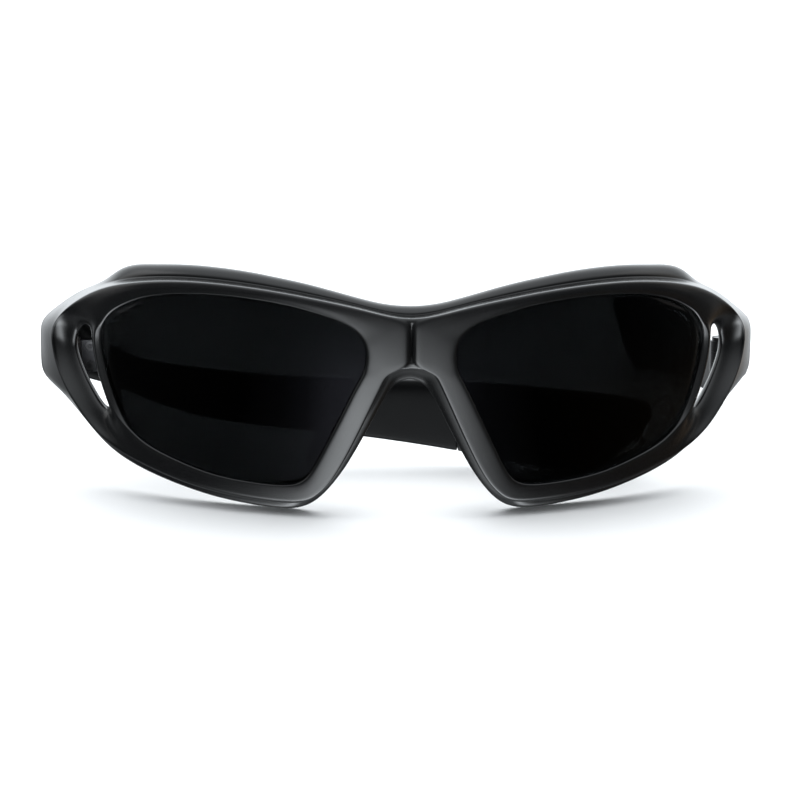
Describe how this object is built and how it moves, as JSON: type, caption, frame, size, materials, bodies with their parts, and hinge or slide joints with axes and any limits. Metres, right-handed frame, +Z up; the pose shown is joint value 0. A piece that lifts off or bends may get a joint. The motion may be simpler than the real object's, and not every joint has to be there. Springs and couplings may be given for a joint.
{
  "type": "wraparound sport sunglasses",
  "caption": "Matt black wraparound sunglasses with dark polarizing lenses, see-through side vents, nose pads and temples that fold on barrel hinges.",
  "frame": {"origin": "middle of the footprint at rest, on the surface that the glasses stand on", "axes": "+X to the wearer's left, +Y back along the temples, +Z up"},
  "size_m": [0.1424, 0.1568, 0.0462],
  "materials": {
    "frame_plastic": "satin moulded",
    "temple_plastic": "satin moulded",
    "lens_base": "polished grey tint",
    "polarizer": "polished dark laminate",
    "pad_rubber": "matt",
    "grip_rubber": "matt",
    "hinge_steel": "brushed",
    "screw_steel": "polished"
  },
  "bodies": {
    "front": {"front_frame": "frame_plastic", "left_lens_base": "lens_base", "left_polarizing_wafer": "polarizer", "left_nose_pad": "pad_rubber", "left_front_hinge_leaf": "hinge_steel", "left_front_leaf_screws": "screw_steel", "left_hinge_screw": "screw_steel", "right_lens_base": "lens_base", "right_polarizing_wafer": "polarizer", "right_nose_pad": "pad_rubber", "right_front_hinge_leaf": "hinge_steel", "right_front_leaf_screws": "screw_steel", "right_hinge_screw": "screw_steel"},
    "left_temple": {"left_temple": "temple_plastic", "left_temple_grip": "grip_rubber", "left_temple_hinge_leaf": "hinge_steel", "left_temple_leaf_screws": "screw_steel"},
    "right_temple": {"right_temple": "temple_plastic", "right_temple_grip": "grip_rubber", "right_temple_hinge_leaf": "hinge_steel", "right_temple_leaf_screws": "screw_steel"}
  },
  "joints": [
    {"name": "left_temple_hinge", "type": "hinge", "parent": "front", "child": "left_temple", "pos_m": [0.0649, -0.03658, 0.0234], "axis": [0, 0, 1], "range_deg": [0, 84]},
    {"name": "right_temple_hinge", "type": "hinge", "parent": "front", "child": "right_temple", "pos_m": [-0.0649, -0.03658, 0.0234], "axis": [0, 0, -1], "range_deg": [-91, 0]}
  ]
}
